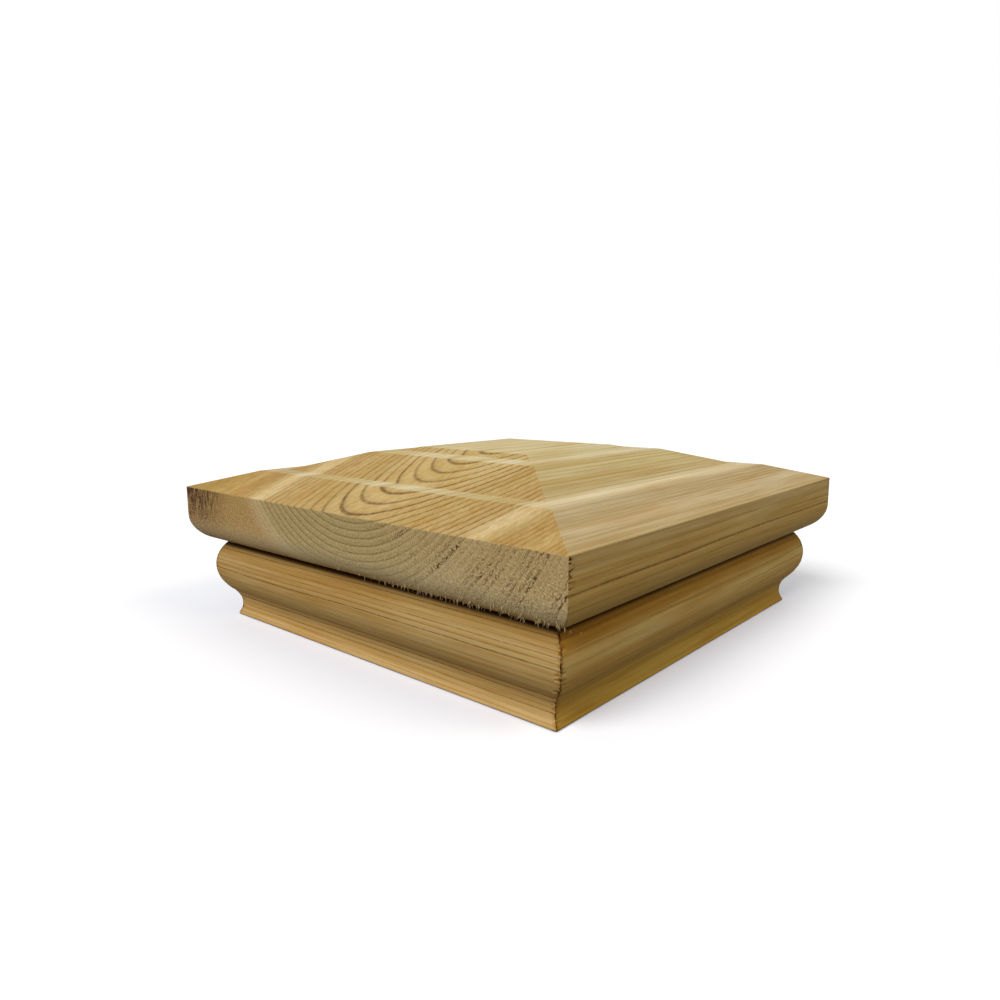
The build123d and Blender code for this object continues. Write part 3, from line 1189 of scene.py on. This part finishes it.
@dataclass(frozen=True)
class TornFibres:
    """Loose slivers that the cutter lifted along the lower edge of the end grain, more on its torn side."""

    board: CapBoard
    count: int = 220
    length: tuple[float, float] = (0.5, 1.3)      # mm
    width: tuple[float, float] = (0.12, 0.28)     # mm
    clean_from: float = 8.0                       # place along the edge where the torn side ends
    densest: float = 4.0                          # most slivers are this far from the near corner
    corner_gap: float = 1.0                       # and none is nearer to it than this
    rooted: float = 0.1                           # depth of a sliver's root in the wood
    lean_rad: float = 0.5                         # how far one leans sideways at most
    trail: float = 0.4                            # how far one leans out, as a share of the round-over's turn
    seed: int = 4

    def build(self) -> list[bpy.types.Object]:
        """Shapes a bent sliver 1 mm wide and long, and sets scaled copies of it along the edge.

        Returns:
            The slivers as one piece.
        """
        low, high = (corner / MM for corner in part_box(self.board.node))
        round_over = self.board.round_over
        chance = Random(self.seed)
        bpy.ops.object.select_all(action="DESELECT")
        bpy.ops.mesh.primitive_cone_add(
            vertices=5, radius1=0.5 * MM, radius2=0.0, depth=MM, location=(0, 0, 0.5 * MM)
        )
        sliver = Workpiece("sliver")
        sliver.pick_all()
        bpy.ops.mesh.subdivide(number_cuts=1)
        sliver.pick(lambda p: p.z > 0.7 * MM, edges=False)
        bpy.ops.transform.translate(value=(0.25 * MM, 0, 0))
        slivers = []
        for _ in range(self.count):
            copy = sliver.copy("sliver_copy")
            length, width = chance.uniform(*self.length), chance.uniform(*self.width)
            # most of them are low on the round-over
            height = round_over * (1 - chance.random() ** 0.5)
            turn = math.acos(1 - height / round_over)
            out = high.x - round_over * (1 - math.sin(turn))
            along = chance.triangular(low.y + self.corner_gap, self.clean_from, low.y + self.densest)
            copy.shape.scale = (width, width, length)
            sideways = chance.uniform(-self.lean_rad, self.lean_rad)
            copy.shape.rotation_euler = (sideways, math.pi + turn * self.trail, 0)
            copy.shape.location = Vector((-out + self.rooted, along, low.z + height)) * MM
            slivers.append(copy)
        sliver.hold()
        bpy.ops.object.delete()
        for copy in slivers:
            copy.shape.select_set(True)
        bpy.context.view_layer.objects.active = slivers[0].shape
        bpy.ops.object.join()
        return [Workpiece("torn_fibres").finish(self.board.wood.material(), "board_wood")]


@dataclass(frozen=True)
class Brads:
    """The eight brads, which keep the frame's own mesh."""

    steel: BradSteel
    node: str = "brads"

    def build(self) -> list[bpy.types.Object]:
        """Dresses the brads.

        Returns:
            The brads' node.
        """
        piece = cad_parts[self.node]
        piece.data.materials.clear()
        piece.data.materials.append(self.steel.material())
        return [piece]


@dataclass(frozen=True)
class Studio:
    """Plain pale floor, white surround and soft light from the upper left."""

    floor_size: float = 12.0            # metres
    clearance: float = 0.05 * MM        # keeps the floor off the cap's bottom faces
    surround: float = 0.4               # strength of the surround's light
    surround_tint: str = "#FFF9E4"
    key_strength: float = 2.35
    key_towards: tuple[float, float, float] = (-0.75, -0.06, 0.66)    # from the cap to the light
    key_tint: str = "#FFFFFF"
    fill_strength: float = 0.85
    fill_towards: tuple[float, float, float] = (0.2, -0.75, 0.6)
    fill_tint: str = "#FFF8E8"
    soft_deg: float = 34.0              # how wide both lights stand in the sky
    floor_bounce: str = "#5E5237"       # colour of the floor in the light that it sends up
    floor_glow: str = "#404F73"         # seen directly, it cancels the surround's warm tint on the floor

    def build(self) -> list[bpy.types.Object]:
        """Makes the floor, the world and the lights.

        Returns:
            The floor and both lights.
        """
        self.light_world()
        return [
            self.lay_floor(),
            self.hang("key_light", self.key_towards, self.key_strength, self.key_tint),
            self.hang("fill_light", self.fill_towards, self.fill_strength, self.fill_tint),
        ]

    def seen_directly(self, tree: Tree) -> Socket:
        """A mask that is 1 where the camera, a reflection or a refraction sees the surface.

        Args:
            tree: The node tree to work in.

        Returns:
            The mask's socket.
        """
        path = add_node(tree, "LightPath", {})
        seen = path["Is Camera Ray"]
        for ray in ("Is Glossy Ray", "Is Transmission Ray"):
            seen = add_node(tree, "Math", {"operation": "MAXIMUM", 0: seen, 1: path[ray]})[0]
        return seen

    def lay_floor(self) -> bpy.types.Object:
        """Lays the floor that the cap stands on.

        Returns:
            The floor.
        """
        bpy.ops.object.select_all(action="DESELECT")
        bpy.ops.mesh.primitive_plane_add(size=self.floor_size, location=(0, 0, -self.clearance))
        floor = bpy.context.object
        floor.name = "studio_floor"
        made = bpy.data.materials.new("studio_paper")
        tree = cleared_tree(made)
        seen = self.seen_directly(tree)
        settings = {"data_type": "RGBA", 0: seen, 6: linear(self.floor_bounce), 7: grey(1.0)}
        colour = add_node(tree, "Mix", settings)[2]
        paper = add_node(tree, "BsdfDiffuse", {"Color": colour})[0]
        glow = add_node(tree, "Emission", {"Color": linear(self.floor_glow), "Strength": seen})[0]
        shader = add_node(tree, "AddShader", {0: paper, 1: glow})[0]
        add_node(tree, "OutputMaterial", {"Surface": shader})
        floor.data.materials.append(made)
        return floor

    def light_world(self) -> None:
        """Sets an even surround that is plain white where it is seen."""
        world = bpy.data.worlds.new("studio_surround")
        bpy.context.scene.world = world
        tree = cleared_tree(world)
        seen = self.seen_directly(tree)
        settings = {"data_type": "RGBA", 0: seen, 6: linear(self.surround_tint), 7: grey(1.0)}
        tint = add_node(tree, "Mix", settings)[2]
        strength = add_node(tree, "MapRange", {"Value": seen, "To Min": self.surround, "To Max": 1.0})[0]
        light = add_node(tree, "Background", {"Color": tint, "Strength": strength})[0]
        add_node(tree, "OutputWorld", {"Surface": light})

    def hang(
        self, name: str, towards: tuple[float, float, float], strength: float, tint: str
    ) -> bpy.types.Object:
        """Hangs one large soft light.

        Args:
            name: The light's name.
            towards: The way from the cap to the light.
            strength: Its strength.
            tint: Its colour.

        Returns:
            The light.
        """
        lamp = bpy.data.lights.new(name, "SUN")
        lamp.energy = strength
        lamp.angle = math.radians(self.soft_deg)
        lamp.color = linear(tint)[:3]
        light = bpy.data.objects.new(name, lamp)
        bpy.context.scene.collection.objects.link(light)
        light.rotation_euler = Vector(towards).to_track_quat("Z", "Y").to_euler()
        return light


@dataclass(frozen=True)
class Viewpoint:
    """The camera at the photograph's viewing angle."""

    place_mm: tuple[float, float, float] = (-181.9, -151.4, 73.1)
    heading_deg: float = 41.12          # from +X towards +Y
    down_deg: float = 9.01
    roll_deg: float = -0.27
    focal_px: float = 746.0             # for a frame 1000 px wide
    frame_px: float = 1000.0
    sensor_mm: float = 36.0
    clip_from: float = 0.01             # metres

    def build(self) -> list[bpy.types.Object]:
        """Makes the camera and hands it to the scene.

        Returns:
            The camera.
        """
        yaw, pitch, roll = (math.radians(a) for a in (self.heading_deg, self.down_deg, self.roll_deg))
        ahead = Vector((
            math.cos(yaw) * math.cos(pitch), math.sin(yaw) * math.cos(pitch), -math.sin(pitch)
        ))
        right = Vector((math.sin(yaw), -math.cos(yaw), 0.0))
        up = right.cross(ahead)
        turned_right = right * math.cos(roll) + up * math.sin(roll)
        turned_up = up * math.cos(roll) - right * math.sin(roll)
        lens = bpy.data.cameras.new("photo_view")
        lens.sensor_width = self.sensor_mm
        lens.lens = self.focal_px / self.frame_px * self.sensor_mm
        lens.clip_start = self.clip_from
        camera = bpy.data.objects.new("photo_view", lens)
        bpy.context.scene.collection.objects.link(camera)
        turn = Matrix((turned_right, turned_up, -ahead)).transposed().to_4x4()
        camera.matrix_world = Matrix.Translation(Vector(self.place_mm) * MM) @ turn
        bpy.context.scene.camera = camera
        return [camera]


BOARD_WOOD = BoardWood(
    name="planed_cedar_board",
    grain=Grain.ALONG_X,
    pith_mm=(-8.0, 73.9),
    ring_mm=1.85,
    line_mm=23.05,
    # two pale rings, at 52 and 65 mm, run along the valleys and show again on the end slopes
    tones=(
        (20.0, "#D6CDA8"), (30.5, "#DAD1B2"), (32.5, "#D3C9A8"), (35.0, "#CEC297"), (42.0, "#CBBD92"),
        (46.0, "#C7B68C"), (49.0, "#CCBC95"), (50.3, "#D8CCAE"), (51.5, "#DED2B4"), (53.0, "#DED3B8"),
        (54.5, "#D5CAAF"), (56.0, "#C6B89A"), (58.0, "#C2B190"), (62.5, "#C3B392"), (65.5, "#CEBEA1"),
        (68.0, "#C7B694"), (71.0, "#C6B593"), (75.0, "#C5AD76"), (82.0, "#BA9F64"),
    ),
    shows=(
        (20.0, 1.0), (30.0, 1.0), (36.0, 0.8), (43.0, 0.8), (47.0, 1.0), (49.0, 1.0), (51.0, 0.1),
        (56.0, 0.25), (60.0, 0.55), (63.0, 0.45), (65.5, 0.15), (68.0, 0.4), (73.0, 0.7), (80.0, 1.0),
    ),
    latewood="#553408",
    level_show=0.45,
    side_show=1.0,
    far_show=0.7,
    weakest=0.62,
    slope_tints=(
        (31.0, "#F7E6CA"), (36.0, "#F7E6CF"), (42.0, "#FFF1E2"), (52.0, "#FFF6E6"), (56.0, "#FFF6DA"),
        (58.0, "#FBE8C0"), (62.0, "#FAE6BD"), (65.5, "#FEF3D1"), (68.0, "#F9E9C3"), (72.0, "#F8EBC4"),
        (76.0, "#EDE5CC"), (80.0, "#FFFFFF"),
    ),
    # the slopes a little darker than the level valleys and flat, whose paleness is painted sheen
    painted_sheen_slope_tint="#F2F1EC",
    seed=2.0,
)
# on the mouldings the cutter ran along the fibres and left the lines broad, with a sharp start
MOULDING_LINE = (
    (0.0, 0.03), (0.3, 0.0), (0.66, 0.08), (0.74, 0.2), (0.78, 0.95), (0.92, 0.95), (0.97, 0.1),
)


def moulding_wood(
    side: str, grain: Grain, pith_mm: tuple[float, float], ring_mm: float,
    tones: tuple[tuple[float, str], ...], latewood: str, show: float, seed: float, painted_shade_tint: str = "#DEC893",
) -> MouldingWood:
    """One side's wood, cut from its own place in the log.

    Args:
        side: The side's name.
        grain: The axis that it runs along.
        pith_mm: The pith's place.
        ring_mm: Width of a ring.
        tones: Colour between the lines, by radius in mm.
        latewood: Colour of the lines.
        show: How much of the lines shows.
        seed: The piece's place in the log.
        painted_shade_tint: What the painted shade below the board leaves of the colour.

    Returns:
        The wood.
    """
    return MouldingWood(
        name="moulded_cedar_" + side,
        grain=grain,
        pith_mm=pith_mm,
        ring_mm=ring_mm,
        line_mm=50.0,
        tones=tones,
        shows=((0.0, show), (119.0, show)),
        line_shape=MOULDING_LINE,
        latewood=latewood,
        slim_from_mm=200.0,
        waver_mm=1.1,
        ripple_mm=0.2,
        weakest=0.1,
        painted_shade_tint=painted_shade_tint,
        seed=seed,
    )


MOULDING_WOODS = {
    "moulding_left": moulding_wood(
        "left", Grain.ALONG_Y, pith_mm=(-40.0, 95.0), ring_mm=1.25,
        # on this side the radius follows the height on the profile, so these tones also paint light and
        # shade: the lower ovolo a little darker, the cove's bottom and the lip lighter; its painted shade
        # below the board is lighter too
        tones=(
            (76.0, "#C1A573"), (84.0, "#C1A672"), (87.0, "#BFA46F"), (90.0, "#C8AC77"), (93.0, "#C1A36B"),
            (96.5, "#D0B37F"),
        ),
        latewood="#5A3408", show=0.9, seed=5.0, painted_shade_tint="#ECE4CC",
    ),
    "moulding_front": moulding_wood(
        "front", Grain.ALONG_X, pith_mm=(-20.0, -60.0), ring_mm=2.1,
        # on this side the radius follows the height on the profile, so these tones also paint shade: the lip
        # darker and the upper ovolo darker below the board; a paler band runs along the ovolo's widest line
        tones=(
            (74.5, "#B29243"), (78.0, "#B79B55"), (81.5, "#BFA262"), (87.0, "#BDA062"), (90.0, "#C5B07A"),
            (92.5, "#BBA063"),
        ),
        latewood="#54340A", show=0.5, seed=9.0,
    ),
    "moulding_right": moulding_wood(
        "right", Grain.ALONG_Y, pith_mm=(30.0, 80.0), ring_mm=1.5,
        tones=((60.0, "#C4A66E"), (90.0, "#C2A46C")),
        latewood="#5E380A", show=0.8, seed=13.0,
    ),
    "moulding_back": moulding_wood(
        "back", Grain.ALONG_X, pith_mm=(25.0, -70.0), ring_mm=1.9,
        tones=((80.0, "#C2A468"), (110.0, "#C4A66E")),
        latewood="#583609", show=0.7, seed=17.0,
    ),
}
FACING_DEG = {"moulding_left": 180.0, "moulding_front": 270.0, "moulding_right": 0.0, "moulding_back": 90.0}


def main() -> None:
    """Builds the studio and the cap, piece by piece."""
    logging.basicConfig(level=logging.INFO, format="%(name)s: %(message)s")
    bpy.context.scene.view_settings.view_transform = "Standard"
    board = CapBoard(BOARD_WOOD)
    sides = MouldingFrame(MOULDING_WOODS, FACING_DEG)
    for assembly in (Viewpoint(), Studio(), board, sides, TornFibres(board), Brads(BradSteel())):
        for piece in assembly.build():
            LOG.info("%s: built", piece.name)


if __name__ == "__main__":
    main()
